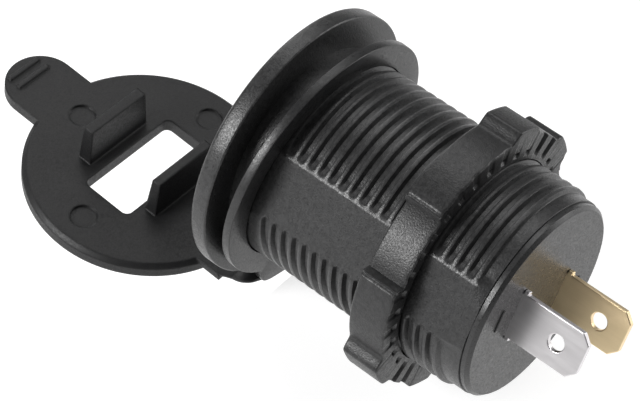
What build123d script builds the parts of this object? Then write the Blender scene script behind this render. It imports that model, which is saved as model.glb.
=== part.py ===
"""Panel socket with two USB ports, a voltmeter and a hinged dust cap.

The barrel lies along Y: the flange faces -Y, the terminals point to +Y and Z is up.
The origin is on the barrel's axis, in the plane of the flange's back face.
"""

import os
from math import acos, cos, degrees, floor, radians, sin

from build123d import *

os.makedirs("parts", exist_ok=True)

# Turns about the barrel's axis, in degrees from X
face_turn = 12.79
body_turn = 25.5
nut_turn = 42.0

# Housing: flange, neck and threaded barrel
barrel_radius = 14.2
barrel_length = 35.85
barrel_wall = 2.2
flange_width = 4.4
flange_thickness = 2.5
flange_front_bevel = 0.6
flange_back_bevel = 0.25
thread_pitch = 1.62
thread_depth = 0.65
thread_start = 3.79
thread_sink = 0.15
land_margin = 0.1
rear_land_length = 1.2
rear_land_drop = 0.55
flat_depth = 0.73
flat_start = 1.6

# Front plate, ports and display
fascia_ledge = 3.05
fascia_fit = 0.1
fascia_recess = 0.3
fascia_thickness = 1.6
port_width = 12.5
port_height = 5.1
port_wall = 0.3
port_corner = 0.5
port_length = 13.4
port_fit = 0.04
upper_port_share = 0.405
lower_port_share = 0.4296
tongue_width = 11.1
tongue_thickness = 1.6
tongue_gap = 0.25
tongue_setback = 1.2
tongue_block = 3.0
contact_count = 4
contact_pitch = 2.5
contact_width = 1.0
contact_thickness = 0.1
contact_setback = 0.8
tongue_lead_in = 0.3
lens_width = 15.4
lens_margin = 0.775
lens_recess = 0.15
module_width = 16.0
module_margin = 0.375
module_depth = 6.4
module_pin = 0.5
module_pin_pitch = 2.54
module_pin_inset = 0.6
module_pin_count = 5

# Boards and the converter's parts
board_thickness = 1.5
board_fit = 0.05
power_board_width = 19.6
power_board_gap = 0.41
power_board_height = -1.5
parts_gap = 0.3
inductor_side = -5.2
can_side = 5.0
inductor_radius = 4.0
inductor_height = 5.0
inductor_rim = 0.9
inductor_core_radius = 2.2
coil_radius = 3.6
coil_fit = 0.04
input_can_radius = 3.15
input_can_height = 7.0
output_can_radius = 2.5
output_can_height = 6.0
chip_length = 5.0
chip_width = 4.0
chip_height = 1.6
chip_lift = 0.2
chip_leg_pitch = 1.27
chip_leg_width = 0.45
chip_leg_length = 1.2
chip_leg_reach = 0.4
diode_length = 4.4
diode_width = 2.6
diode_height = 2.2
diode_bevel = 0.3

# Rear cover and terminals
cover_inset = 0.75
cover_thickness = 1.15
cover_bevel = 0.45
cover_spigot = 2.2
spigot_fit = 0.03
terminal_offset = 5.3
terminal_width = 6.3
terminal_thickness = 0.8
terminal_reach = 10.1
terminal_corner = 1.2
terminal_tip_bevel = 0.25
terminal_hole = 1.7
terminal_hole_reach = 6.0
terminal_inside = 4.3
terminal_shoulder = 0.7
terminal_shoulder_width = 7.0
lead_width = 1.2
lead_thickness = 0.4
lead_height = 0.6

# Mounting nut
nut_front = 21.9
nut_thickness = 5.3
nut_wall = 3.0
nut_clearance = 0.1
nut_recess_depth = 1.3
nut_recess_angle = 33.0
lug_rise = 1.5
lug_angle = 15.0
lug_spread = 20.0
tooth_count = 36
tooth_gap_width = 1.2
tooth_depth = 0.5
tooth_reach = 2.0
cut_margin = 0.6

# Strap ring, hinge web and dust cap
ring_middle = 2.95
ring_tilt = 5.5
ring_thickness = 1.2
ring_width = 3.3
ring_clearance = 0.145
strap_width = 13.0
strap_rise = 1.3
strap_thickness = 0.9
strap_front = -1.7
strap_web = 0.6
strap_web_overlap = 1.5
strap_web_clearance = 0.5
cap_side = 4.4
cap_forward = -22.57
cap_rise = 1.31
cap_tilt = 4.88
cap_radius = 16.74
cap_thickness = 2.0
cap_rim = 0.6
cap_tab_width = 10.0
cap_tab_reach = 24.9
cap_tab_thickness = 1.6
grip_width = 0.7
grip_height = 0.35
grip_inset = 1.6
grip_pitch = 1.8
grip_side_inset = 2.2
cap_window_width = 16.2
cap_window_height = 7.8
cap_window_corner = 1.0
blade_length = 10.8
blade_tip_length = 10.0
blade_height = 5.9
upper_blade = (5.4, 7.5)
lower_blade = (4.6, 6.5)
blade_inner_draft = 0.4
blade_outer_draft = 0.2
ejector_radius = 1.8
ejector_depth = 0.3
ejector_circle = 12.2
cap_tongue_reach = 18.9
web_thickness = 0.6


def across(y, turn=0.0):
    """Plane square to the barrel at y, facing forward, with its X turned about the axis."""
    x_dir = (cos(radians(turn)), 0, sin(radians(turn)))
    return Plane(origin=(0, y, 0), x_dir=x_dir, z_dir=(0, -1, 0))


def beside(turn):
    """Plane through the barrel's axis at a turn, with X outward and Y along the barrel."""
    side = sin(radians(turn))
    out = cos(radians(turn))
    return Plane(origin=(0, 0, 0), x_dir=(out, 0, side), z_dir=(-side, 0, out))


def level(height):
    """Plane along the barrel at a height above its axis, turned with the ports."""
    side = sin(radians(face_turn))
    up = cos(radians(face_turn))
    return Plane(origin=(-height * side, 0, height * up), x_dir=(up, 0, side), z_dir=(-side, 0, up))


bore_radius = barrel_radius - barrel_wall
flange_radius = barrel_radius + flange_width
fascia_radius = bore_radius + fascia_ledge
face_front = -flange_thickness + fascia_recess
face_back = face_front + fascia_thickness
root_radius = barrel_radius - thread_depth
rear_land_radius = barrel_radius - rear_land_drop
flat_distance = barrel_radius - flat_depth
thread_count = floor((barrel_length - rear_land_length - thread_start) / thread_pitch)
thread_end = thread_start + thread_count * thread_pitch
flat_edge = degrees(acos(flat_distance / barrel_radius))
flat_half_width = barrel_radius * sin(radians(flat_edge))
thread_edge = flat_edge + degrees(land_margin / 2 / barrel_radius)

# Housing: flange, neck and barrel, with thread ridges that stop at a plain land along each flat
with BuildPart() as housing:
    with BuildSketch(Plane.XY):
        with BuildLine():
            Polyline(
                (bore_radius, face_back),
                (fascia_radius + fascia_fit, face_back),
                (fascia_radius + fascia_fit, -flange_thickness),
                (flange_radius - flange_front_bevel, -flange_thickness),
                (flange_radius, -flange_thickness + flange_front_bevel),
                (flange_radius, -flange_back_bevel),
                (flange_radius - flange_back_bevel, 0),
                (barrel_radius, 0),
                (barrel_radius, thread_start),
                (root_radius - thread_sink, thread_start),
                (root_radius - thread_sink, thread_end),
                (rear_land_radius, thread_end),
                (rear_land_radius, barrel_length),
                (bore_radius, barrel_length),
                close=True,
            )
        make_face()
    revolve(axis=Axis.Y)
    for flat in (body_turn, body_turn + 180):
        with BuildSketch(beside(flat + thread_edge)):
            with Locations((root_radius, (thread_start + thread_end) / 2)):
                with GridLocations(1, thread_pitch, 1, thread_count):
                    Polygon(
                        (-2 * thread_sink, -thread_pitch / 2),
                        (0, -thread_pitch / 2),
                        (thread_depth, 0),
                        (0, thread_pitch / 2),
                        (-2 * thread_sink, thread_pitch / 2),
                        align=None,
                    )
        revolve(axis=Axis((0, 0, 0), (0, -1, 0)), revolution_arc=180 - 2 * thread_edge)
        land_middle = (flat_distance + bore_radius + thread_sink) / 2
        with BuildSketch(across(thread_start, flat)):
            with Locations((land_middle, 0)):
                Rectangle(flat_distance - bore_radius - thread_sink, 2 * flat_half_width + 2 * land_margin)
        extrude(amount=thread_start - thread_end)
        with BuildSketch(across(flat_start, flat)):
            with Locations((flat_distance + thread_depth, 0)):
                Rectangle(2 * thread_depth, 2 * barrel_radius)
        extrude(amount=flat_start - barrel_length, mode=Mode.SUBTRACT)
housing.part.label = "housing"
export_step(housing.part, "parts/housing.step")

# Front plate in the flange's recess, with its two port openings and display window
upper_port_height = upper_port_share * barrel_radius
lower_port_height = -lower_port_share * barrel_radius
display_height = (upper_port_height + lower_port_height) / 2
port_outer_width = port_width + 2 * port_wall
port_outer_height = port_height + 2 * port_wall
port_gap = upper_port_height - lower_port_height - port_outer_height
lens_height = port_gap - 2 * lens_margin
module_height = port_gap - 2 * module_margin
with BuildPart() as fascia:
    with BuildSketch(across(face_back, face_turn)):
        Circle(fascia_radius)
        with Locations((0, upper_port_height), (0, lower_port_height)):
            RectangleRounded(
                port_outer_width + 2 * port_fit,
                port_outer_height + 2 * port_fit,
                port_corner + port_wall,
                mode=Mode.SUBTRACT,
            )
        with Locations((0, display_height)):
            Rectangle(lens_width, lens_height, mode=Mode.SUBTRACT)
    extrude(amount=fascia_thickness)
fascia.part.label = "fascia"
export_step(fascia.part, "parts/fascia.step")

# Dark lens in the display window
with BuildPart() as display_lens:
    with BuildSketch(across(face_back, face_turn)):
        with Locations((0, display_height)):
            Rectangle(lens_width, lens_height)
    extrude(amount=fascia_thickness - lens_recess)
display_lens.part.label = "display_lens"
export_step(display_lens.part, "parts/display_lens.step")

# Digit block behind the lens, with its pins to the front board
board_front = face_front + port_fit + port_length
with BuildPart() as display_module:
    with BuildSketch(across(face_back, face_turn)):
        with Locations((0, display_height)):
            Rectangle(module_width, module_height)
    extrude(amount=-module_depth)
    with BuildSketch(across(face_back + module_depth, face_turn)):
        with Locations((0, display_height)):
            with GridLocations(module_pin_pitch, module_height - 2 * module_pin_inset, module_pin_count, 2):
                Rectangle(module_pin, module_pin)
    extrude(amount=-(board_front - face_back - module_depth))
display_module.part.label = "display_module"
export_step(display_module.part, "parts/display_module.step")

# Upper port: shell, tongue and contacts
shell_front = board_front - port_length
tongue_front = shell_front + tongue_setback
block_front = board_front - tongue_block
with BuildPart() as usb_shell_upper:
    with BuildSketch(across(board_front, face_turn)):
        with Locations((0, upper_port_height)):
            RectangleRounded(port_outer_width, port_outer_height, port_corner + port_wall)
            RectangleRounded(port_width, port_height, port_corner, mode=Mode.SUBTRACT)
    extrude(amount=port_length)
usb_shell_upper.part.label = "usb_shell_upper"
export_step(usb_shell_upper.part, "parts/usb_shell_upper.step")

tongue_drop = -port_height / 2 + tongue_gap + tongue_thickness / 2
with BuildPart() as usb_tongue_upper:
    with BuildSketch(across(board_front, face_turn)):
        with Locations((0, upper_port_height)):
            RectangleRounded(port_width - 2 * port_fit, port_height - 2 * port_fit, port_corner)
    extrude(amount=tongue_block)
    with BuildSketch(across(block_front, face_turn)):
        with Locations((0, upper_port_height + tongue_drop)):
            Rectangle(tongue_width, tongue_thickness)
    extrude(amount=block_front - tongue_front)
    chamfer(usb_tongue_upper.faces().sort_by(Axis.Y)[0].edges(), tongue_lead_in)
usb_tongue_upper.part.label = "usb_tongue_upper"
export_step(usb_tongue_upper.part, "parts/usb_tongue_upper.step")

contact_drop = tongue_drop + (tongue_thickness + contact_thickness) / 2
with BuildPart() as usb_contacts_upper:
    with BuildSketch(across(block_front, face_turn)):
        with Locations((0, upper_port_height + contact_drop)):
            with GridLocations(contact_pitch, 1, contact_count, 1):
                Rectangle(contact_width, contact_thickness)
    extrude(amount=block_front - tongue_front - contact_setback)
usb_contacts_upper.part.label = "usb_contacts_upper"
export_step(usb_contacts_upper.part, "parts/usb_contacts_upper.step")

# Lower port, the same way up
with BuildPart() as usb_shell_lower:
    with BuildSketch(across(board_front, face_turn)):
        with Locations((0, lower_port_height)):
            RectangleRounded(port_outer_width, port_outer_height, port_corner + port_wall)
            RectangleRounded(port_width, port_height, port_corner, mode=Mode.SUBTRACT)
    extrude(amount=port_length)
usb_shell_lower.part.label = "usb_shell_lower"
export_step(usb_shell_lower.part, "parts/usb_shell_lower.step")

with BuildPart() as usb_tongue_lower:
    with BuildSketch(across(board_front, face_turn)):
        with Locations((0, lower_port_height)):
            RectangleRounded(port_width - 2 * port_fit, port_height - 2 * port_fit, port_corner)
    extrude(amount=tongue_block)
    with BuildSketch(across(block_front, face_turn)):
        with Locations((0, lower_port_height + tongue_drop)):
            Rectangle(tongue_width, tongue_thickness)
    extrude(amount=block_front - tongue_front)
    chamfer(usb_tongue_lower.faces().sort_by(Axis.Y)[0].edges(), tongue_lead_in)
usb_tongue_lower.part.label = "usb_tongue_lower"
export_step(usb_tongue_lower.part, "parts/usb_tongue_lower.step")

with BuildPart() as usb_contacts_lower:
    with BuildSketch(across(block_front, face_turn)):
        with Locations((0, lower_port_height + contact_drop)):
            with GridLocations(contact_pitch, 1, contact_count, 1):
                Rectangle(contact_width, contact_thickness)
    extrude(amount=block_front - tongue_front - contact_setback)
usb_contacts_lower.part.label = "usb_contacts_lower"
export_step(usb_contacts_lower.part, "parts/usb_contacts_lower.step")

# Round board behind the ports
with BuildPart() as front_board:
    with BuildSketch(across(board_front, face_turn)):
        Circle(bore_radius - board_fit)
    extrude(amount=-board_thickness)
front_board.part.label = "front_board"
export_step(front_board.part, "parts/front_board.step")

# Long board with the converter
power_front = board_front + board_thickness
terminal_start = barrel_length - terminal_inside
power_back = terminal_start - power_board_gap
power_middle = (power_front + power_back) / 2
with BuildPart() as power_board:
    with BuildSketch(level(power_board_height)):
        with Locations((0, power_middle)):
            Rectangle(power_board_width, power_back - power_front)
    extrude(amount=-board_thickness)
power_board.part.label = "power_board"
export_step(power_board.part, "parts/power_board.step")

# Drum core and its winding
inductor_place = (inductor_side, power_front + parts_gap + inductor_radius)
with BuildPart() as inductor_core:
    with BuildSketch(level(power_board_height)):
        with Locations(inductor_place):
            Circle(inductor_radius)
    extrude(amount=inductor_rim)
    with BuildSketch(level(power_board_height + inductor_rim)):
        with Locations(inductor_place):
            Circle(inductor_core_radius)
    extrude(amount=inductor_height - 2 * inductor_rim)
    with BuildSketch(level(power_board_height + inductor_height - inductor_rim)):
        with Locations(inductor_place):
            Circle(inductor_radius)
    extrude(amount=inductor_rim)
inductor_core.part.label = "inductor_core"
export_step(inductor_core.part, "parts/inductor_core.step")

with BuildPart() as inductor_coil:
    with BuildSketch(level(power_board_height + inductor_rim)):
        with Locations(inductor_place):
            Circle(coil_radius)
            Circle(inductor_core_radius + coil_fit, mode=Mode.SUBTRACT)
    extrude(amount=inductor_height - 2 * inductor_rim)
inductor_coil.part.label = "inductor_coil"
export_step(inductor_coil.part, "parts/inductor_coil.step")

# Two capacitor cans, one behind the other
input_can_middle = power_front + parts_gap + input_can_radius
output_can_middle = input_can_middle + input_can_radius + parts_gap + output_can_radius
with BuildPart() as input_capacitor:
    with BuildSketch(level(power_board_height)):
        with Locations((can_side, input_can_middle)):
            Circle(input_can_radius)
    extrude(amount=input_can_height)
input_capacitor.part.label = "input_capacitor"
export_step(input_capacitor.part, "parts/input_capacitor.step")

with BuildPart() as output_capacitor:
    with BuildSketch(level(power_board_height)):
        with Locations((can_side, output_can_middle)):
            Circle(output_can_radius)
    extrude(amount=output_can_height)
output_capacitor.part.label = "output_capacitor"
export_step(output_capacitor.part, "parts/output_capacitor.step")

# Converter chip under the board, with its row of legs on both sides
board_underside = power_board_height - board_thickness
chip_leg_middle = chip_width / 2 + chip_leg_reach
with BuildPart() as converter_chip:
    with BuildSketch(level(board_underside - chip_lift)):
        with Locations((0, power_middle)):
            Rectangle(chip_width, chip_length)
    extrude(amount=chip_lift - chip_height)
    with BuildSketch(level(board_underside)):
        with Locations((0, power_middle)):
            with GridLocations(2 * chip_leg_middle, chip_leg_pitch, 2, 4):
                Rectangle(chip_leg_length, chip_leg_width)
    extrude(amount=-2 * chip_lift)
converter_chip.part.label = "converter_chip"
export_step(converter_chip.part, "parts/converter_chip.step")

diode_place = (0, power_back - parts_gap - diode_length / 2)
with BuildPart() as rectifier_diode:
    with BuildSketch(level(power_board_height)):
        with Locations(diode_place):
            Rectangle(diode_width, diode_length)
    extrude(amount=diode_height)
    chamfer(rectifier_diode.faces().sort_by(Axis.Z)[-1].edges(), diode_bevel)
rectifier_diode.part.label = "rectifier_diode"
export_step(rectifier_diode.part, "parts/rectifier_diode.step")

# Rear cover with its spigot in the bore and two slots for the terminals
cover_back = barrel_length + cover_thickness
spigot_front = barrel_length - cover_spigot
with BuildPart() as rear_cover:
    with BuildSketch(across(spigot_front)):
        Circle(bore_radius - spigot_fit)
    extrude(amount=-cover_spigot)
    with BuildSketch(across(barrel_length, body_turn)):
        Circle(barrel_radius - cover_inset)
    extrude(amount=-cover_thickness)
    chamfer(rear_cover.faces().sort_by(Axis.Y)[-1].edges(), cover_bevel)
    with BuildSketch(across(spigot_front, body_turn)):
        with GridLocations(2 * terminal_offset, 1, 2, 1):
            Rectangle(terminal_thickness, terminal_width)
    extrude(amount=-cover_spigot - cover_thickness, mode=Mode.SUBTRACT)
rear_cover.part.label = "rear_cover"
export_step(rear_cover.part, "parts/rear_cover.step")


def blade_plane(side):
    """Plane of a terminal's middle, with X along the barrel and Y across its width."""
    turn = radians(body_turn)
    middle = (side * terminal_offset * cos(turn), 0, side * terminal_offset * sin(turn))
    return Plane(origin=middle, x_dir=(0, 1, 0), z_dir=(-cos(turn), 0, -sin(turn)))


terminal_end = cover_back + terminal_reach
shoulder_end = cover_back + terminal_shoulder
half_width = terminal_width / 2
half_shoulder = terminal_shoulder_width / 2

# Tinned terminal on the right, brass terminal on the left
with BuildPart() as negative_terminal:
    with BuildSketch(blade_plane(1)):
        with BuildLine():
            Polyline(
                (terminal_start, -half_width),
                (cover_back, -half_width),
                (cover_back, -half_shoulder),
                (shoulder_end, -half_shoulder),
                (shoulder_end, -half_width),
                (terminal_end - terminal_corner, -half_width),
                (terminal_end, -half_width + terminal_corner),
                (terminal_end, half_width - terminal_corner),
                (terminal_end - terminal_corner, half_width),
                (shoulder_end, half_width),
                (shoulder_end, half_shoulder),
                (cover_back, half_shoulder),
                (cover_back, half_width),
                (terminal_start, half_width),
                close=True,
            )
        make_face()
        with Locations((cover_back + terminal_hole_reach, 0)):
            Circle(terminal_hole / 2, mode=Mode.SUBTRACT)
    extrude(amount=terminal_thickness / 2, both=True)
    chamfer(negative_terminal.faces().sort_by(Axis.Y)[-1].edges().sort_by(SortBy.LENGTH)[-2:], terminal_tip_bevel)
negative_terminal.part.label = "negative_terminal"
export_step(negative_terminal.part, "parts/negative_terminal.step")

with BuildPart() as positive_terminal:
    with BuildSketch(blade_plane(-1)):
        with BuildLine():
            Polyline(
                (terminal_start, -half_width),
                (cover_back, -half_width),
                (cover_back, -half_shoulder),
                (shoulder_end, -half_shoulder),
                (shoulder_end, -half_width),
                (terminal_end - terminal_corner, -half_width),
                (terminal_end, -half_width + terminal_corner),
                (terminal_end, half_width - terminal_corner),
                (terminal_end - terminal_corner, half_width),
                (shoulder_end, half_width),
                (shoulder_end, half_shoulder),
                (cover_back, half_shoulder),
                (cover_back, half_width),
                (terminal_start, half_width),
                close=True,
            )
        make_face()
        with Locations((cover_back + terminal_hole_reach, 0)):
            Circle(terminal_hole / 2, mode=Mode.SUBTRACT)
    extrude(amount=terminal_thickness / 2, both=True)
    chamfer(positive_terminal.faces().sort_by(Axis.Y)[-1].edges().sort_by(SortBy.LENGTH)[-2:], terminal_tip_bevel)
positive_terminal.part.label = "positive_terminal"
export_step(positive_terminal.part, "parts/positive_terminal.step")

# Strip leads that rise from the power board and run back to the terminals
lead_skew = radians(body_turn - face_turn)
lead_pad = power_back - 2 * lead_width


def lead_place(side):
    """Where a terminal's middle plane passes the leads' height, across the ports' turned frame."""
    return (side * terminal_offset - lead_height * sin(lead_skew)) / cos(lead_skew)


with BuildPart() as negative_lead:
    with BuildSketch(level(power_board_height)):
        with Locations((lead_place(1), lead_pad)):
            Rectangle(lead_width, lead_thickness)
    extrude(amount=lead_height - power_board_height)
    with BuildSketch(level(lead_height)):
        with Locations((lead_place(1), (lead_pad + terminal_start) / 2)):
            Rectangle(lead_width, terminal_start - lead_pad)
    extrude(amount=-lead_thickness)
negative_lead.part.label = "negative_lead"
export_step(negative_lead.part, "parts/negative_lead.step")

with BuildPart() as positive_lead:
    with BuildSketch(level(power_board_height)):
        with Locations((lead_place(-1), lead_pad)):
            Rectangle(lead_width, lead_thickness)
    extrude(amount=lead_height - power_board_height)
    with BuildSketch(level(lead_height)):
        with Locations((lead_place(-1), (lead_pad + terminal_start) / 2)):
            Rectangle(lead_width, terminal_start - lead_pad)
    extrude(amount=-lead_thickness)
positive_lead.part.label = "positive_lead"
export_step(positive_lead.part, "parts/positive_lead.step")

# Nut: ring with four lugs, two thumb recesses and radial teeth on its rear face
nut_back = nut_front + nut_thickness
nut_radius = barrel_radius + nut_wall
nut_recess_radius = nut_radius - nut_recess_depth
lug_radius = nut_radius + lug_rise
with BuildPart() as mounting_nut:
    with BuildSketch(across(nut_front, nut_turn)) as nut_outline:
        Circle(nut_radius)
        for wing in (90, 270):
            for lug in (wing - lug_spread, wing + lug_spread):
                with BuildLine():
                    lug_arc = CenterArc((0, 0), lug_radius, lug - lug_angle / 2, lug_angle)
                    Line((0, 0), lug_arc @ 0)
                    Line((0, 0), lug_arc @ 1)
                make_face()
        for recess in (0, 180):
            with BuildLine():
                recess_start = recess - nut_recess_angle / 2
                outer_arc = CenterArc((0, 0), nut_radius + cut_margin, recess_start, nut_recess_angle)
                inner_arc = CenterArc((0, 0), nut_recess_radius, recess_start, nut_recess_angle)
                Line(outer_arc @ 0, inner_arc @ 0)
                Line(outer_arc @ 1, inner_arc @ 1)
            make_face(mode=Mode.SUBTRACT)
        Circle(barrel_radius + nut_clearance, mode=Mode.SUBTRACT)
    extrude(amount=-nut_thickness)
    with BuildSketch(across(nut_back, nut_turn)):
        with PolarLocations(nut_radius + (cut_margin - tooth_reach) / 2, tooth_count):
            Rectangle(tooth_reach + cut_margin, tooth_gap_width)
    extrude(amount=tooth_depth, mode=Mode.SUBTRACT)
mounting_nut.part.label = "mounting_nut"
export_step(mounting_nut.part, "parts/mounting_nut.step")

# Ring on the neck, leaning with its foot towards the flange, and the root of the strap
strap_turn = face_turn
ring_radius = barrel_radius + ring_width
ring_bore = barrel_radius + ring_clearance
strap_inner = ring_radius + strap_rise
strap_outer = strap_inner + strap_thickness
ring_lean = radians(ring_tilt)
ring_plane = Plane(
    origin=(0, ring_middle, 0),
    x_dir=(cos(radians(strap_turn)), 0, sin(radians(strap_turn))),
    z_dir=(0, -cos(ring_lean), sin(ring_lean)),
)
strap_back = ring_middle - strap_inner * sin(ring_lean) + ring_thickness / 2
with BuildPart() as strap_ring:
    with BuildSketch(ring_plane):
        Circle(ring_radius)
        Circle(ring_bore, mode=Mode.SUBTRACT)
    extrude(amount=ring_thickness / 2, both=True)
    with BuildSketch(across(strap_back, strap_turn)):
        with Locations((0, -(strap_inner + strap_outer) / 2)):
            Rectangle(strap_width, strap_thickness)
    extrude(amount=strap_back - strap_front)
    with BuildSketch(across(strap_back - strap_web, strap_turn)):
        with Locations((0, -(ring_radius - strap_web_overlap + strap_outer) / 2)):
            Rectangle(strap_width, strap_outer - ring_radius + strap_web_overlap)
        Circle(ring_bore + strap_web_clearance, mode=Mode.SUBTRACT)
    extrude(amount=strap_web)
strap_ring.part.label = "strap_ring"
export_step(strap_ring.part, "parts/strap_ring.step")

# Dust cap, laid open: its inner side is up and its tab points away from the flange
cap_lean = radians(cap_tilt)
cap_centre = (cap_side, cap_forward, cap_rise - strap_inner)
cap_plane = Plane(origin=cap_centre, x_dir=(1, 0, 0), z_dir=(0, sin(cap_lean), cos(cap_lean)))
tab_round = cap_tab_width / 2
with BuildPart() as dust_cap:
    with BuildSketch(cap_plane):
        Circle(cap_radius)
    extrude(amount=-cap_thickness)
    chamfer(dust_cap.faces().sort_by(Axis.Z)[-1].edges(), cap_rim)
    with BuildSketch(cap_plane):
        with Locations((0, -(cap_tab_reach - tab_round) / 2)):
            Rectangle(cap_tab_width, cap_tab_reach - tab_round)
        with Locations((0, tab_round - cap_tab_reach)):
            Circle(tab_round)
    extrude(amount=-cap_tab_thickness)
    with BuildSketch(cap_plane):
        with Locations((0, cap_tongue_reach / 2 + ejector_circle / 2)):
            Rectangle(strap_width, cap_tongue_reach - ejector_circle)
    extrude(amount=-strap_thickness)
    with BuildSketch(cap_plane):
        with Locations((0, grip_inset + grip_pitch / 2 - cap_tab_reach)):
            with GridLocations(1, grip_pitch, 1, 2):
                Rectangle(cap_tab_width - 2 * grip_side_inset, grip_width)
    extrude(amount=grip_height)
    with BuildSketch(cap_plane):
        RectangleRounded(cap_window_width, cap_window_height, cap_window_corner)
    extrude(amount=-cap_thickness, mode=Mode.SUBTRACT)
    with BuildSketch(cap_plane):
        with PolarLocations(ejector_circle, 4):
            Circle(ejector_radius)
    extrude(amount=-ejector_depth, mode=Mode.SUBTRACT)
    for side, (inner, outer) in ((-1, upper_blade), (1, lower_blade)):
        tip_inner = inner + blade_inner_draft
        tip_outer = outer - blade_outer_draft
        with BuildSketch(cap_plane):
            with Locations((0, side * (inner + outer) / 2)):
                Rectangle(blade_length, outer - inner)
        with BuildSketch(cap_plane.offset(blade_height)):
            with Locations((0, side * (tip_inner + tip_outer) / 2)):
                Rectangle(blade_tip_length, tip_outer - tip_inner)
        loft()
dust_cap.part.label = "dust_cap"
export_step(dust_cap.part, "parts/dust_cap.step")

# Thin bending stretch between the strap and the cap
web_end = cap_plane.from_local_coords(Vector(0, cap_tongue_reach, -strap_thickness / 2))
web_plane = Plane(origin=web_end, x_dir=(1, 0, 0), z_dir=cap_plane.y_dir)
with BuildPart() as hinge_web:
    with BuildSketch(across(strap_front, strap_turn)):
        with Locations((0, -(strap_inner + strap_outer) / 2)):
            Rectangle(strap_width, web_thickness)
    with BuildSketch(web_plane):
        Rectangle(strap_width, web_thickness)
    loft(ruled=True)
hinge_web.part.label = "hinge_web"
export_step(hinge_web.part, "parts/hinge_web.step")
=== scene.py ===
"""Looks of the panel socket with two USB ports and a voltmeter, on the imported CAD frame."""

from math import acos, cos, degrees, radians, sin

import bmesh
import bpy
from mathutils import Matrix, Vector


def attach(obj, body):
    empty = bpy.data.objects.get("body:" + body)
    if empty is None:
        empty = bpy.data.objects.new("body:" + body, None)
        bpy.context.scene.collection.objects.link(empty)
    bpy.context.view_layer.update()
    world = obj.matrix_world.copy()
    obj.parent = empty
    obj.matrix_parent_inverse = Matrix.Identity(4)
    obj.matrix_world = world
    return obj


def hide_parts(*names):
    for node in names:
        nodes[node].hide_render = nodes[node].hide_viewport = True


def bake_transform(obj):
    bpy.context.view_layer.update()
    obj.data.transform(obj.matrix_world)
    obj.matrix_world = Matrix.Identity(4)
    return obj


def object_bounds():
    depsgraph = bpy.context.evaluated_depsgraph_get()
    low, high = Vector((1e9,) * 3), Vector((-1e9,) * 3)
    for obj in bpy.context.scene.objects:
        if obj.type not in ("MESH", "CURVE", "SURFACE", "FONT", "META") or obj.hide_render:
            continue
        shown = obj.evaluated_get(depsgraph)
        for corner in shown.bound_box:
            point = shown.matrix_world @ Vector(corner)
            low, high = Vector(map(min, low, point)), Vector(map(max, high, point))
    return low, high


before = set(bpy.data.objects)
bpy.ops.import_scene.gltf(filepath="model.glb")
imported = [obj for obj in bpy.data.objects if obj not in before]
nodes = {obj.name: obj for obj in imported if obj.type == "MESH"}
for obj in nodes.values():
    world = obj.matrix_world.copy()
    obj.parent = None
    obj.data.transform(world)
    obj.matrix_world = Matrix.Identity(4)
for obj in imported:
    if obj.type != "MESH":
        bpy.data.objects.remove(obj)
cad_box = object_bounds()
MM = 0.001

# Photograph's camera, in the part's frame
image_width = 640
focal_pixels = 2519.0
sensor_width = 36.0
view_azimuth = radians(126.755)
view_elevation = radians(48.089)
view_roll = radians(5.334)
camera_place = Vector((171.699, 131.437, 230.936)) * MM

# Fineness of the meshes: a weld in millimetres, an angle and counts of steps
weld_distance = 0.0005
sharp_angle = radians(32)
runout_columns = 16
start_columns = 12
middle_columns = 56
rows_per_crest = 12
thread_end_rows = 5
housing_round_steps = 4
nut_columns = 720
ring_columns = 360
small_round_steps = 3
strap_across_steps = 14
strap_root_steps = 10
strap_bend_steps = 16
terminal_hole_steps = 48
terminal_edge_steps = 3

# Turns about the barrel's axis, in degrees from X
face_turn = 12.79
body_turn = 25.5

# Housing, in millimetres and degrees
flange_radius = 18.6
flange_thickness = 2.5
flange_front_round = 0.6
flange_back_round = 0.25
fascia_recess_radius = 15.15
fascia_back = -0.6
barrel_radius = 14.2
barrel_length = 35.85
bore_radius = 12.0
rear_land_radius = 13.65
rear_round = 0.06
flat_distance = 13.47
flat_start = 1.6
thread_pitch = 1.62
thread_root = 13.6
thread_crest = 0.42
thread_flank = 0.34
first_crest = 4.6
crest_turn = 67.0
crest_count = 19
thread_land_turn = 0.6
thread_start_turn = 7.0
thread_end_lead = 5.0
thread_end_turn = 6.5

# Nut, in millimetres and degrees
nut_turn = 42.0
nut_front = 21.9
nut_back = 27.2
nut_radius = 17.2
nut_bore = 14.3
nut_round = 0.25
recess_depth = 1.3
recess_half_angle = 16.0
recess_slope = 1.0
seam_half_angle = 1.2
seam_depth = 0.22
lug_rise = 0.9
lug_spread = 20.0
lug_half_angle = 6.0
lug_slope = 4.5
wing_turn = 94.0
wing_rise = 0.6
wing_half_angle = 26.0
wing_slope = 6.0
tooth_count = 36
tooth_depth = 0.45
tooth_rim_share = 0.25
tooth_margin = 0.35
tooth_inner_radius = 14.8
tooth_outer_radius = 15.7
tooth_gap_half_angle = 0.9
tooth_slope = 1.6

# Ring and strap, in millimetres
ring_middle = 2.95
ring_tilt = radians(5.5)
ring_thickness = 1.2
ring_radius = 17.5
ring_bore = 14.345
ring_round = 0.12
lobe_corner_power = 5
strap_width = 13.0
strap_outer = 19.7
strap_thickness = 0.9
strap_front = -1.7
strap_overlap = -1.0
strap_corner = 2.2
strap_edge_power = 16
strap_edge_least = 0.15
web_thickness = 0.6
web_taper_share = 0.25
cap_centre = Vector((4.4, -22.57, -17.49))
cap_tilt = radians(4.88)
cap_tongue_reach = 18.9

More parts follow.
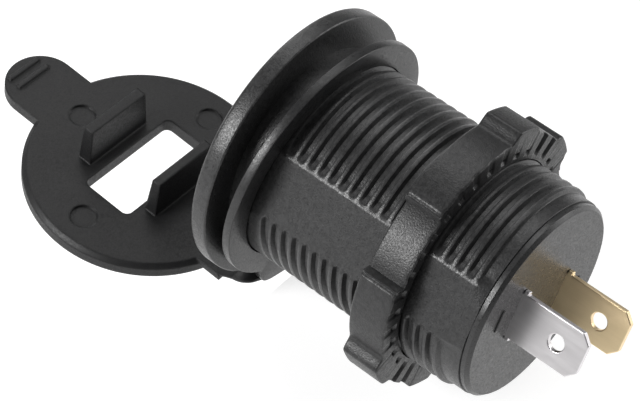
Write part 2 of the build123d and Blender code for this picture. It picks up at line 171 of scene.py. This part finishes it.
# Rear cover's face, terminals and polarity signs, in millimetres
cover_back = 37.0
terminal_start = 31.55
terminal_end = 47.1
terminal_offset = 5.3
terminal_width = 6.3
terminal_thickness = 0.8
terminal_corner = 1.2
terminal_hole = 2.2
terminal_hole_reach = 6.25
terminal_shoulder = 0.7
terminal_shoulder_width = 7.0
terminal_edge_round = 0.14
sign_offset = 9.1
sign_size = 3.0
sign_stroke = 0.4
sign_height = 0.18
sign_side_share = 0.6
sign_edge_inset = 0.06

# Display digits, in millimetres
lens_front = -2.05
display_height = -0.175
digit_count = 3
digit_pitch = 4.1
digit_width = 2.1
digit_height = 3.3
digit_lean = 0.12
segment_stroke = 0.36
segment_gap = 0.1
segment_height = 0.05
segment_tip_least = 0.1
point_size = 0.42

# Surface detail of the materials: features to the millimetre, depths in millimetres and shares
cloud_per_mm = 1.6
cloud_detail = 4.0
cloud_roughness = 0.7
cloud_start = 0.4
cloud_end = 0.6
speckle_per_mm = 4.5
speckle_detail = 1.0
gloss_spread = 0.1
grain_depth = 0.03
streak_per_mm = 1.5
streak_detail = 2.0
streak_gloss_low = 0.015
streak_gloss_high = 0.02
streak_strength = 0.005
streak_depth = 0.01
edge_samples = 6

# Floor and light: millimetres, shades and strengths
floor_half = 1500.0
floor_drop = 0.05
floor_shade = 0.55
floor_glow = 0.7
step_along = 2.0
step_depth = 60.0
lamp_target = Vector((0, 5, -2)) * MM
surround_strength = 0.17


def link(obj):
    """The object, put into the scene."""
    bpy.context.scene.collection.objects.link(obj)
    return obj


def mesh_piece(name, points, faces, material):
    """A mesh object from points in millimetres and faces, shaded smooth up to sharp edges."""
    mesh = bpy.data.meshes.new(name)
    mesh.from_pydata([Vector(p) * MM for p in points], [], faces)
    work = bmesh.new()
    work.from_mesh(mesh)
    bmesh.ops.remove_doubles(work, verts=work.verts, dist=weld_distance * MM)
    bmesh.ops.recalc_face_normals(work, faces=work.faces)
    work.to_mesh(mesh)
    work.free()
    mesh.shade_smooth()
    mesh.set_sharp_from_angle(angle=sharp_angle)
    mesh.materials.append(material)
    return link(bpy.data.objects.new(name, mesh))


class Shader:
    """A new material's node tree, with short ways to add and join nodes."""

    def __init__(self, name):
        self.material = bpy.data.materials.new(name)
        self.material.use_nodes = True
        self.tree = self.material.node_tree
        self.bsdf = self.tree.nodes["Principled BSDF"]
        self.place = self.add("ShaderNodeTexCoord").outputs["Object"]

    def add(self, kind, **settings):
        node = self.tree.nodes.new(kind)
        for key, value in settings.items():
            setattr(node, key, value)
        return node

    def join(self, output, target):
        self.tree.links.new(output, target)

    def noise(self, per_mm, detail, stretch=(1, 1, 1), roughness=0.5):
        """Noise with a number of features to the millimetre."""
        mapping = self.add("ShaderNodeMapping")
        mapping.inputs["Scale"].default_value = stretch
        self.join(self.place, mapping.inputs["Vector"])
        noise = self.add("ShaderNodeTexNoise")
        noise.inputs["Scale"].default_value = per_mm / MM
        noise.inputs["Detail"].default_value = detail
        noise.inputs["Roughness"].default_value = roughness
        self.join(mapping.outputs["Vector"], noise.inputs["Vector"])
        return noise.outputs["Fac"]

    def ramp(self, factor, low, high, start=0.35, end=0.65):
        """Colour that goes from low to high between two values of a factor."""
        ramp = self.add("ShaderNodeValToRGB")
        ramp.color_ramp.elements[0].position = start
        ramp.color_ramp.elements[1].position = end
        ramp.color_ramp.elements[0].color = (*low, 1)
        ramp.color_ramp.elements[1].color = (*high, 1)
        self.join(factor, ramp.inputs["Fac"])
        return ramp.outputs["Color"]

    def span(self, factor, low, high, start=0.3, end=0.7):
        """Number that goes from low to high between two values of a factor."""
        span = self.add("ShaderNodeMapRange")
        span.inputs["From Min"].default_value = start
        span.inputs["From Max"].default_value = end
        span.inputs["To Min"].default_value = low
        span.inputs["To Max"].default_value = high
        self.join(factor, span.inputs["Value"])
        return span.outputs["Result"]

    def relief(self, height, strength, depth_mm, edge_mm):
        """Bump from a height, over edges rounded by the given radius."""
        bump = self.add("ShaderNodeBump")
        bump.inputs["Strength"].default_value = strength
        bump.inputs["Distance"].default_value = depth_mm * MM
        self.join(height, bump.inputs["Height"])
        if edge_mm:
            edge = self.add("ShaderNodeBevel", samples=edge_samples)
            edge.inputs["Radius"].default_value = edge_mm * MM
            self.join(edge.outputs["Normal"], bump.inputs["Normal"])
        self.join(bump.outputs["Normal"], self.bsdf.inputs["Normal"])


def moulded(name, low, high, gloss, grain, edge=0.0, shine=0.5):
    """Moulded plastic: two near tones, uneven gloss, a mottled grain and softly rounded edges."""
    shader = Shader(name)
    cloud = shader.noise(cloud_per_mm, cloud_detail, roughness=cloud_roughness)
    speckle = shader.noise(speckle_per_mm, speckle_detail)
    colour = shader.ramp(cloud, low, high, cloud_start, cloud_end)
    roughness = shader.span(speckle, gloss - gloss_spread, gloss + gloss_spread)
    shader.join(colour, shader.bsdf.inputs["Base Color"])
    shader.join(roughness, shader.bsdf.inputs["Roughness"])
    shader.relief(speckle, grain, grain_depth, edge)
    shader.bsdf.inputs["Specular IOR Level"].default_value = shine
    return shader.material


def metal(name, low, high, rough, stretch=(1, 0.15, 1), edge=0.0):
    """Rolled sheet metal: drawn streaks in colour, gloss and relief."""
    shader = Shader(name)
    streak = shader.noise(streak_per_mm, streak_detail, stretch)
    roughness = shader.span(streak, rough - streak_gloss_low, rough + streak_gloss_high)
    shader.bsdf.inputs["Metallic"].default_value = 1.0
    shader.join(shader.ramp(streak, low, high), shader.bsdf.inputs["Base Color"])
    shader.join(roughness, shader.bsdf.inputs["Roughness"])
    shader.relief(streak, streak_strength, streak_depth, edge)
    return shader.material


# Plastics and rubber
nylon = moulded("nylon", (0.019, 0.019, 0.0195), (0.037, 0.037, 0.0375), gloss=0.37, grain=1.0)
nut_nylon = moulded("nut_nylon", (0.013, 0.013, 0.0135), (0.027, 0.027, 0.0275), gloss=0.41, grain=1.2)
soft = moulded(
    "soft", (0.006, 0.006, 0.0065), (0.009, 0.009, 0.0095), gloss=0.5, grain=0.15, edge=0.45, shine=0.4
)
# Painted light: the same soft rubber as the cap and strap, made lighter for the ring so that its rim
# reads as brightly lit
ring_soft_painted_lit = moulded("ring_soft_painted_lit", (0.013, 0.013, 0.0135), (0.021, 0.021, 0.0215), gloss=0.37, grain=0.4)
cover_nylon = moulded(
    "cover_nylon", (0.023, 0.023, 0.0235), (0.03, 0.03, 0.0305), gloss=0.34, grain=0.1, edge=0.15
)
fascia_gloss = moulded(
    "fascia_gloss", (0.010, 0.010, 0.0105), (0.013, 0.013, 0.0135), gloss=0.25, grain=0.1, edge=0.1
)
lens_dark = moulded(
    "lens_dark", (0.02, 0.004, 0.004), (0.03, 0.006, 0.006), gloss=0.12, grain=0.03, edge=0.05
)
port_white = moulded("port_white", (0.62, 0.62, 0.6), (0.7, 0.7, 0.68), gloss=0.4, grain=0.1, edge=0.05)
digit_block = moulded(
    "digit_block", (0.05, 0.05, 0.05), (0.07, 0.07, 0.07), gloss=0.5, grain=0.1, edge=0.05
)
unlit_red = moulded("unlit_red", (0.16, 0.022, 0.02), (0.24, 0.035, 0.03), gloss=0.3, grain=0.05)

# Boards, their parts and the leads
board_green = moulded(
    "board_green", (0.01, 0.09, 0.03), (0.014, 0.13, 0.045), gloss=0.35, grain=0.1, edge=0.05
)
ferrite = moulded("ferrite", (0.03, 0.03, 0.032), (0.05, 0.05, 0.052), gloss=0.6, grain=0.5, edge=0.1)
chip_black = moulded(
    "chip_black", (0.02, 0.02, 0.02), (0.03, 0.03, 0.03), gloss=0.55, grain=0.2, edge=0.05
)
lead_red = moulded("lead_red", (0.4, 0.02, 0.02), (0.5, 0.03, 0.025), gloss=0.45, grain=0.1, edge=0.05)
lead_black = moulded(
    "lead_black", (0.02, 0.02, 0.02), (0.03, 0.03, 0.03), gloss=0.45, grain=0.1, edge=0.05
)

# Metals
tin = metal("tin", (0.72, 0.7, 0.71), (0.76, 0.74, 0.75), rough=0.29)
brass = metal("brass", (0.88, 0.7, 0.43), (0.92, 0.735, 0.46), rough=0.3)
steel = metal("steel", (0.5, 0.5, 0.5), (0.62, 0.62, 0.62), rough=0.28, edge=0.08)
gold = metal("gold", (0.8, 0.58, 0.2), (0.88, 0.66, 0.28), rough=0.25, stretch=(1, 0.2, 1), edge=0.03)
can = metal("can", (0.55, 0.56, 0.58), (0.66, 0.67, 0.68), rough=0.32, stretch=(0.2, 1, 1), edge=0.1)
copper = metal("copper", (0.6, 0.25, 0.12), (0.75, 0.34, 0.18), rough=0.3, stretch=(1, 1, 0.2), edge=0.1)

node_finish = {
    "housing": nylon, "fascia": fascia_gloss, "display_lens": lens_dark, "display_module": digit_block,
    "usb_shell_upper": steel, "usb_shell_lower": steel, "usb_tongue_upper": port_white,
    "usb_tongue_lower": port_white, "usb_contacts_upper": gold, "usb_contacts_lower": gold,
    "front_board": board_green, "power_board": board_green, "inductor_core": ferrite,
    "inductor_coil": copper, "input_capacitor": can, "output_capacitor": can,
    "converter_chip": chip_black, "rectifier_diode": chip_black, "rear_cover": cover_nylon,
    "negative_terminal": tin, "positive_terminal": brass, "negative_lead": lead_black,
    "positive_lead": lead_red, "mounting_nut": nut_nylon, "strap_ring": soft,
    "hinge_web": soft, "dust_cap": soft,
}
for node, finish in node_finish.items():
    materials = nodes[node].data.materials
    materials.clear()
    materials.append(finish)


# Helpers for the meshes
def smooth(value):
    """Smooth step from 0 to 1."""
    t = min(max(value, 0), 1)
    return t * t * (3 - 2 * t)


def polar(radius, along, turn):
    """Point at a radius and a turn about the barrel's axis, and a distance along it."""
    return Vector((radius * cos(radians(turn)), along, radius * sin(radians(turn))))


def angle_between(a, b):
    """Size of the smaller angle between two turns, in degrees."""
    return abs((a - b + 180) % 360 - 180)


def round_corner(centre, radius, start, steps):
    """Points of a quarter round in a profile, from an angle and on by a right angle."""
    turns = [radians(start + 90 * i / steps) for i in range(steps + 1)]
    return [(centre[0] + radius * cos(t), centre[1] + radius * sin(t)) for t in turns]


def grid_faces(rows, columns, closed=False):
    """Quads of a grid of rows of points. A closed grid joins its last column and row to its first."""
    faces = []
    for row in range(rows if closed else rows - 1):
        this_row = row * columns
        next_row = (row + 1) % rows * columns
        for column in range(columns if closed else columns - 1):
            after = (column + 1) % columns
            faces.append((this_row + column, this_row + after, next_row + after, next_row + column))
    return faces


def swept(profiles):
    """Points and faces of a closed mesh that goes through its profiles and back to the first."""
    rows = len(profiles[0])
    points = [profile[row] for row in range(rows) for profile in profiles]
    return points, grid_faces(rows, len(profiles), closed=True)


# Directions of the front face and of the terminals
face_across = polar(1, 0, face_turn)
face_down = Vector((face_across.z, 0, -face_across.x))
terminal_out = polar(1, 0, body_turn)
terminal_across = Vector((-terminal_out.z, 0, terminal_out.x))

# Housing with its screw thread, cut by the two flats
flat_edge = degrees(acos(flat_distance / barrel_radius))
root_edge = degrees(acos(flat_distance / thread_root))


def thread_radius(from_crest):
    """Radius of the thread at a distance along the barrel from a crest."""
    off = abs((from_crest + thread_pitch / 2) % thread_pitch - thread_pitch / 2)
    return barrel_radius - (barrel_radius - thread_root) * smooth((off - thread_crest / 2) / thread_flank)


def half_columns():
    """Turns from the middle of one flat to the middle of the other, closer together at the edges."""
    runout = [root_edge + (flat_edge - root_edge) * i / runout_columns for i in range(runout_columns + 1)]
    start_up = [flat_edge + thread_start_turn * (i + 1) / start_columns for i in range(start_columns)]
    plain = 180 - flat_edge - start_up[-1]
    middle = [start_up[-1] + plain * (i + 1) / middle_columns for i in range(middle_columns - 1)]
    return [0] + runout + start_up + middle + [180 - c for c in reversed(runout)] + [180]


def half_profile(first):
    """Rows of one half of the housing, from the neck round by the rear, the bore and the flange."""
    rows = [("plain", barrel_radius, 0), ("plain", barrel_radius, flat_start)]
    rows.append(("flat", barrel_radius, flat_start))
    last = crest_count - 1
    for step in range(first * rows_per_crest, last * rows_per_crest + 1):
        offset = step * thread_pitch / rows_per_crest
        rows.append(("thread", thread_radius(offset), first_crest + offset))
    end = first_crest + last * thread_pitch + thread_crest / 2
    for step in range(1, thread_end_rows + 1):
        share = step / thread_end_rows
        radius = barrel_radius + (rear_land_radius - barrel_radius) * smooth(share)
        rows.append(("thread", radius, end + thread_flank * share))
    rear_centre = (rear_land_radius - rear_round, barrel_length - rear_round)
    rear = round_corner(rear_centre, rear_round, 0, housing_round_steps)
    rows += [("flat", r, y) for r, y in rear]
    inside = [(bore_radius, barrel_length), (bore_radius, fascia_back)]
    inside += [(fascia_recess_radius, fascia_back), (fascia_recess_radius, -flange_thickness)]
    front_centre = (flange_radius - flange_front_round, flange_front_round - flange_thickness)
    front = round_corner(front_centre, flange_front_round, -90, housing_round_steps)
    back_centre = (flange_radius - flange_back_round, -flange_back_round)
    back = round_corner(back_centre, flange_back_round, 0, housing_round_steps)
    return rows + [("plain", r, y) for r, y in inside + front + back] + [rows[0]]


def half_housing(start_turn, first):
    """Points and faces of the half that starts at a turn, with the number of its first crest."""
    columns = half_columns()
    rows = half_profile(first)
    points = []
    for kind, radius, along in rows:
        for column in columns:
            turn = start_turn + column
            reach = radius
            y = along
            if kind == "thread":
                y -= thread_pitch * (turn - crest_turn) / 360
                depth = smooth((column - flat_edge - thread_land_turn) / thread_start_turn)
                depth *= smooth((180 - column - flat_edge + thread_end_lead) / thread_end_turn)
                reach = barrel_radius - (barrel_radius - radius) * depth
            if kind != "plain":
                reach = min(reach, flat_distance / cos(radians(min(column, 180 - column))))
            points.append(polar(reach, y, turn))
    return points, grid_faces(len(rows), len(columns))


near_points, near_faces = half_housing(body_turn, 0)
far_points, far_faces = half_housing(body_turn + 180, 1)
far_faces = [tuple(i + len(near_points) for i in face) for face in far_faces]
threaded_housing = mesh_piece("threaded_housing", near_points + far_points, near_faces + far_faces, nylon)
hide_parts("housing")
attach(threaded_housing, "socket")


# Nut with soft-edged lugs, thumb recesses and a toothed rear face
def wing_share(turn):
    """1 on a wing, with its lugs and the stretch between them, and 0 elsewhere."""
    off = min(angle_between(turn - nut_turn, wing) for wing in (wing_turn, wing_turn + 180))
    return 1 - smooth((off - wing_half_angle) / wing_slope)


def lug_share(turn):
    """1 on a lug and 0 away from the lugs."""
    share = 0
    for wing in (wing_turn, wing_turn + 180):
        for lug in (wing - lug_spread, wing + lug_spread):
            off = angle_between(turn - nut_turn, lug)
            share += 1 - smooth((off - lug_half_angle) / lug_slope)
    return share


def tooth_gap(turn):
    """1 in the gap between two teeth of the rear face and 0 on a tooth."""
    off = angle_between((turn - nut_turn) * tooth_count, 0) / tooth_count
    return 1 - smooth((off - tooth_gap_half_angle) / tooth_slope)


def nut_outline(turn):
    """Radius of the nut's side, with the recesses and the fine grooves at their ends."""
    radius = nut_radius + wing_rise * wing_share(turn) + lug_rise * lug_share(turn)
    for recess in (0, 180):
        off = angle_between(turn - nut_turn, recess)
        radius -= recess_depth * (1 - smooth((off - recess_half_angle) / recess_slope))
        from_seam = abs(off - recess_half_angle - recess_slope - seam_half_angle)
        radius -= seam_depth * (1 - smooth(from_seam / seam_half_angle))
    return radius


def nut_mesh():
    """The nut: gaps between its teeth are shallow at the rim, deeper on a wing and closed on a lug."""
    side_end = nut_back - tooth_depth - nut_round - tooth_margin
    profiles = []
    for column in range(nut_columns):
        turn = column * 360 / nut_columns
        outer = nut_outline(turn)
        gap = tooth_depth * tooth_gap(turn)
        rim_share = tooth_rim_share + (1 - tooth_rim_share) * wing_share(turn)
        rear = nut_back - gap * rim_share * (1 - lug_share(turn))
        inner_rear = nut_back - gap
        front_centre = (outer - nut_round, nut_front + nut_round)
        rear_centre = (outer - nut_round, rear - nut_round)
        profile = [(nut_bore, nut_front)]
        profile += round_corner(front_centre, nut_round, -90, small_round_steps)
        profile += [(outer, nut_front + 2 * nut_round), (outer, side_end)]
        profile += round_corner(rear_centre, nut_round, 0, small_round_steps)
        profile += [(tooth_outer_radius, rear), (tooth_outer_radius - tooth_depth, inner_rear)]
        profile += [(tooth_inner_radius + tooth_depth, inner_rear), (tooth_inner_radius, nut_back)]
        profile.append((nut_bore, nut_back))
        profiles.append([polar(r, y, turn) for r, y in profile])
    return swept(profiles)


wing_nut = mesh_piece("wing_nut", *nut_mesh(), nut_nylon)
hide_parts("mounting_nut")
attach(wing_nut, "nut")


# Soft ring on the neck, with the lobe that the strap grows from
def lobe_reach(off):
    """Radius of the strap's root at an angle from its middle: a rectangle with rounded corners."""
    if off > radians(90):
        return 0
    outward = (cos(off) / strap_outer) ** lobe_corner_power
    sideways = (sin(off) / (strap_width / 2)) ** lobe_corner_power
    return (outward + sideways) ** (-1 / lobe_corner_power)


def ring_mesh():
    """The ring about its own tilted axis, with the lobe at its lowest turn."""
    ring_axis = Vector((0, -cos(ring_tilt), sin(ring_tilt)))
    ring_up = ring_axis.cross(face_across)
    centre = Vector((0, ring_middle, 0))
    inner = ring_bore + ring_round
    half = ring_thickness / 2 - ring_round
    profiles = []
    for column in range(ring_columns):
        turn = column * 360 / ring_columns
        outer = max(ring_radius, lobe_reach(radians(angle_between(turn, 270)))) - ring_round
        corners = ((inner, -half, 180), (outer, -half, 270), (outer, half, 0), (inner, half, 90))
        profile = []
        for reach, level, start in corners:
            profile += round_corner((reach, level), ring_round, start, small_round_steps)
        spoke = face_across * cos(radians(turn)) + ring_up * sin(radians(turn))
        profiles.append([centre + spoke * r + ring_axis * h for r, h in profile])
    return swept(profiles)


# The ring gets the lighter copy of the soft rubber, which paints light on it
soft_ring = mesh_piece("soft_ring", *ring_mesh(), ring_soft_painted_lit)
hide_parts("strap_ring")
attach(soft_ring, "socket")

# Strap from the ring's lobe under the flange to the cap's tongue
cap_back = Vector((0, cos(cap_tilt), -sin(cap_tilt)))
cap_up = Vector((0, sin(cap_tilt), cos(cap_tilt)))
strap_middle = strap_outer - strap_thickness / 2
strap_rear = Vector((0, ring_middle - strap_middle * sin(ring_tilt), 0)) + face_down * strap_middle
web_start = face_down * strap_middle + Vector((0, strap_front, 0))
web_end = cap_centre + cap_back * (cap_tongue_reach + strap_overlap) - cap_up * (strap_thickness / 2)


def strap_mesh():
    """Flat sheet with rounded edges that turns from the strap's root to the cap."""
    root_shares = [i / strap_root_steps for i in range(strap_root_steps)]
    bend_shares = [i / strap_bend_steps for i in range(strap_bend_steps + 1)]
    stations = [(strap_rear.lerp(web_start, share), 0) for share in root_shares]
    stations += [(web_start.lerp(web_end, share), share) for share in bend_shares]
    loop = [i / strap_across_steps * 2 - 1 for i in range(strap_across_steps + 1)]
    points = []
    for middle, along in stations:
        turned = (middle.y - strap_rear.y) / (web_end.y - strap_rear.y)
        side = face_across.lerp(Vector((1, 0, 0)), turned).normalized()
        inward = (-face_down).lerp(cap_up, turned).normalized()
        short = max(strap_corner - (strap_rear.y - middle.y), 0)
        half_width = strap_width / 2 - strap_corner + (strap_corner ** 2 - short ** 2) ** 0.5
        thinned = smooth(min(along, 1 - along) / web_taper_share)
        thick = strap_thickness + (web_thickness - strap_thickness) * thinned
        for sign, places in ((1, loop), (-1, loop[::-1])):
            for place in places:
                edge = max(1 - abs(place) ** strap_edge_power, strap_edge_least) ** 0.5
                points.append(middle + side * (place * half_width) + inward * (sign * thick / 2 * edge))
    width = 2 * len(loop)
    faces = [tuple(range(width)), tuple(len(points) - 1 - i for i in range(width))]
    for row in range(len(stations) - 1):
        this_row = row * width
        next_row = this_row + width
        for column in range(width):
            after = (column + 1) % width
            faces.append((this_row + after, this_row + column, next_row + column, next_row + after))
    return points, faces


strap_bend = mesh_piece("strap_bend", *strap_mesh(), soft)
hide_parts("hinge_web")
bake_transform(strap_bend)


# Terminal blades with rounded edges
def blade(name, side, material):
    """A blade through the cover: stamped outline and hole, made thick, with its edges rounded."""
    outward = terminal_out * side
    half = terminal_width / 2
    shoulder = terminal_shoulder_width / 2
    edge = [(terminal_start, half), (cover_back, half), (cover_back, shoulder)]
    edge += [(cover_back + terminal_shoulder, shoulder), (cover_back + terminal_shoulder, half)]
    edge += [(terminal_end - terminal_corner, half), (terminal_end, half - terminal_corner)]
    outline = edge + [(along, -width) for along, width in reversed(edge)]
    turns = [radians(360 * i / terminal_hole_steps) for i in range(terminal_hole_steps)]
    hole_centre = cover_back + terminal_hole_reach
    hole = [(hole_centre + terminal_hole / 2 * cos(t), terminal_hole / 2 * sin(t)) for t in turns]
    inner = outward * (terminal_offset - terminal_thickness / 2)
    work = bmesh.new()
    edges = []
    for loop in (outline, hole):
        places = [inner + terminal_across * width + Vector((0, along, 0)) for along, width in loop]
        corners = [work.verts.new(place * MM) for place in places]
        edges += [work.edges.new((corners[i - 1], corners[i])) for i in range(len(corners))]
    bmesh.ops.triangle_fill(work, edges=edges, use_beauty=True)
    grown = bmesh.ops.extrude_face_region(work, geom=work.faces[:])
    moved = [part for part in grown["geom"] if isinstance(part, bmesh.types.BMVert)]
    bmesh.ops.translate(work, verts=moved, vec=outward * terminal_thickness * MM)
    bmesh.ops.recalc_face_normals(work, faces=work.faces)
    mesh = bpy.data.meshes.new(name)
    work.to_mesh(mesh)
    work.free()
    mesh.shade_smooth()
    mesh.materials.append(material)
    piece = link(bpy.data.objects.new(name, mesh))
    bevel = piece.modifiers.new("rounded_edges", "BEVEL")
    bevel.width = terminal_edge_round * MM
    bevel.segments = terminal_edge_steps
    bevel.limit_method = "ANGLE"
    bevel.harden_normals = True
    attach(piece, "socket")
    return piece


tinned_blade = blade("tinned_blade", 1, tin)
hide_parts("negative_terminal")
brass_blade = blade("brass_blade", -1, brass)
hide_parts("positive_terminal")


# Unlit seven-segment digits in the display window
def segment_bars():
    """Bars of the digits and the point: middle, half length and whether it is upright."""
    half_width = digit_width / 2
    half_height = digit_height / 2
    bars = []
    for digit in range(digit_count):
        middle = (digit - (digit_count - 1) / 2) * digit_pitch
        for row in (-1, 0, 1):
            bars.append((middle, row * half_height, half_width - segment_gap, False))
        for column in (-1, 1):
            for row in (-1, 1):
                place = (middle + column * half_width, row * half_height / 2)
                bars.append((*place, half_height / 2 - segment_gap, True))
    point = half_width + segment_stroke + point_size / 2
    return bars + [(point, -half_height, point_size / 2, False)]


def digit_mesh():
    """Thin bars with pointed ends on the lens, leaning to the right."""
    points = []
    faces = []
    half = segment_stroke / 2
    for across, height, length, upright in segment_bars():
        tip = max(length - half, segment_tip_least)
        shape = [(-length, 0), (-tip, -half), (tip, -half), (length, 0), (tip, half), (-tip, half)]
        corners = len(shape)
        rear = len(points)
        front = rear + corners
        for level in (lens_front + segment_height, lens_front - segment_height):
            for u, v in shape:
                right, up = (-v, u) if upright else (u, v)
                up += height
                right += across + digit_lean * up
                place = face_across * right - face_down * (display_height + up)
                points.append(place + Vector((0, level, 0)))
        faces.append(tuple(front + i for i in range(corners)))
        for i in range(corners):
            after = (i + 1) % corners
            faces.append((rear + i, rear + after, front + after, front + i))
    return points, faces


display_digits = mesh_piece("display_digits", *digit_mesh(), unlit_red)
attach(display_digits, "socket")


# Raised polarity signs on the rear cover, beside each terminal
def sign_bars(name, side, bars):
    """Bars of a sign on the cover's face, given as half lengths away from the axis and across."""
    outward = terminal_out * side
    centre = outward * sign_offset + Vector((0, cover_back, 0))
    levels = ((-sign_height, 0), (sign_height * sign_side_share, 0), (sign_height, sign_edge_inset))
    corners = ((-1, -1), (1, -1), (1, 1), (-1, 1))
    count = len(corners)
    points = []
    faces = []
    for half_out, half_across in bars:
        first = len(points)
        for level, inset in levels:
            for i, j in corners:
                place = outward * (i * (half_out - inset)) + terminal_across * (j * (half_across - inset))
                points.append(centre + place + Vector((0, level, 0)))
        top = len(points) - count
        for below in range(first, top, count):
            above = below + count
            for i in range(count):
                after = (i + 1) % count
                faces.append((below + i, below + after, above + after, above + i))
        faces.append(tuple(top + i for i in range(count)))
    sign = mesh_piece(name, points, faces, cover_nylon)
    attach(sign, "socket")


long_half = sign_size / 2
short_half = sign_stroke / 2
sign_bars("minus_sign", 1, [(short_half, long_half)])
sign_bars("plus_sign", -1, [(short_half, long_half), (long_half, short_half)])

# Camera at the photograph's place
level_share = cos(view_elevation)
back = Vector((sin(view_azimuth) * level_share, -cos(view_azimuth) * level_share, sin(view_elevation)))
level_right = Vector((cos(view_azimuth), sin(view_azimuth), 0))
level_up = back.cross(level_right)
right = cos(view_roll) * level_right + sin(view_roll) * level_up
up = cos(view_roll) * level_up - sin(view_roll) * level_right
camera_data = bpy.data.cameras.new("camera")
camera_data.sensor_fit = "HORIZONTAL"
camera_data.sensor_width = sensor_width
camera_data.lens = sensor_width * focal_pixels / image_width
camera = link(bpy.data.objects.new("camera", camera_data))
camera_turn = Matrix((right, up, back)).transposed()
camera.matrix_world = Matrix.Translation(camera_place) @ camera_turn.to_4x4()
bpy.context.scene.camera = camera


# Pale floor under the lowest point, which steps down in front of the socket, where the cap can hang
def seen_white(tree, strength):
    """Strength that is given to camera, glossy and transmission rays, and nothing to others."""
    path = tree.nodes.new("ShaderNodeLightPath")
    seen = path.outputs["Is Camera Ray"]
    for ray in ("Is Glossy Ray", "Is Transmission Ray"):
        join = tree.nodes.new("ShaderNodeMath")
        join.operation = "MAXIMUM"
        tree.links.new(seen, join.inputs[0])
        tree.links.new(path.outputs[ray], join.inputs[1])
        seen = join.outputs[0]
    scaled = tree.nodes.new("ShaderNodeMath")
    scaled.operation = "MULTIPLY"
    scaled.inputs[1].default_value = strength
    tree.links.new(seen, scaled.inputs[0])
    return scaled.outputs[0]


def floor_material():
    """Pale diffuse floor that takes shadows, with a glow that only the seen rays get."""
    material = bpy.data.materials.new("floor")
    material.use_nodes = True
    tree = material.node_tree
    tree.nodes.clear()
    output = tree.nodes.new("ShaderNodeOutputMaterial")
    both = tree.nodes.new("ShaderNodeAddShader")
    diffuse = tree.nodes.new("ShaderNodeBsdfDiffuse")
    diffuse.inputs["Color"].default_value = (floor_shade, floor_shade, floor_shade, 1)
    glow = tree.nodes.new("ShaderNodeEmission")
    tree.links.new(seen_white(tree, floor_glow), glow.inputs["Strength"])
    tree.links.new(diffuse.outputs[0], both.inputs[0])
    tree.links.new(glow.outputs[0], both.inputs[1])
    tree.links.new(both.outputs[0], output.inputs["Surface"])
    return material


floor_top = cad_box[0][2] / MM - floor_drop
step_bottom = floor_top - step_depth
floor_profile = [(floor_half, floor_top), (step_along, floor_top)]
floor_profile += [(step_along, step_bottom), (-floor_half, step_bottom)]
floor_points = [(side * floor_half, y, z) for y, z in floor_profile for side in (-1, 1)]
floor = mesh_piece("floor", floor_points, grid_faces(len(floor_profile), 2), floor_material())


# Lamps and a white surround
def softbox(name, direction, distance_mm, size_mm, watts):
    """A round lamp that faces the socket from a direction."""
    data = bpy.data.lights.new(name, "AREA")
    data.shape = "DISK"
    data.size = size_mm * MM
    data.energy = watts
    lamp = link(bpy.data.objects.new(name, data))
    away = Vector(direction).normalized()
    lamp.location = lamp_target + away * distance_mm * MM
    lamp.rotation_euler = away.to_track_quat("Z", "Y").to_euler()


softbox("key", (0.78, -0.4, 0.48), distance_mm=500, size_mm=230, watts=2.1)
softbox("top", (-0.35, -0.25, 0.9), distance_mm=550, size_mm=320, watts=0.55)
softbox("fill", (-0.8, 0.45, 0.4), distance_mm=600, size_mm=400, watts=1.7)
softbox("side", (-0.45, -0.75, 0.5), distance_mm=650, size_mm=400, watts=1.0)

world = bpy.data.worlds.new("surround")
world.use_nodes = True
bpy.context.scene.world = world
surround = world.node_tree.nodes["Background"]
surround.inputs["Color"].default_value = (1, 1, 1, 1)
surround.inputs["Strength"].default_value = surround_strength

bpy.context.scene.view_settings.view_transform = "Standard"
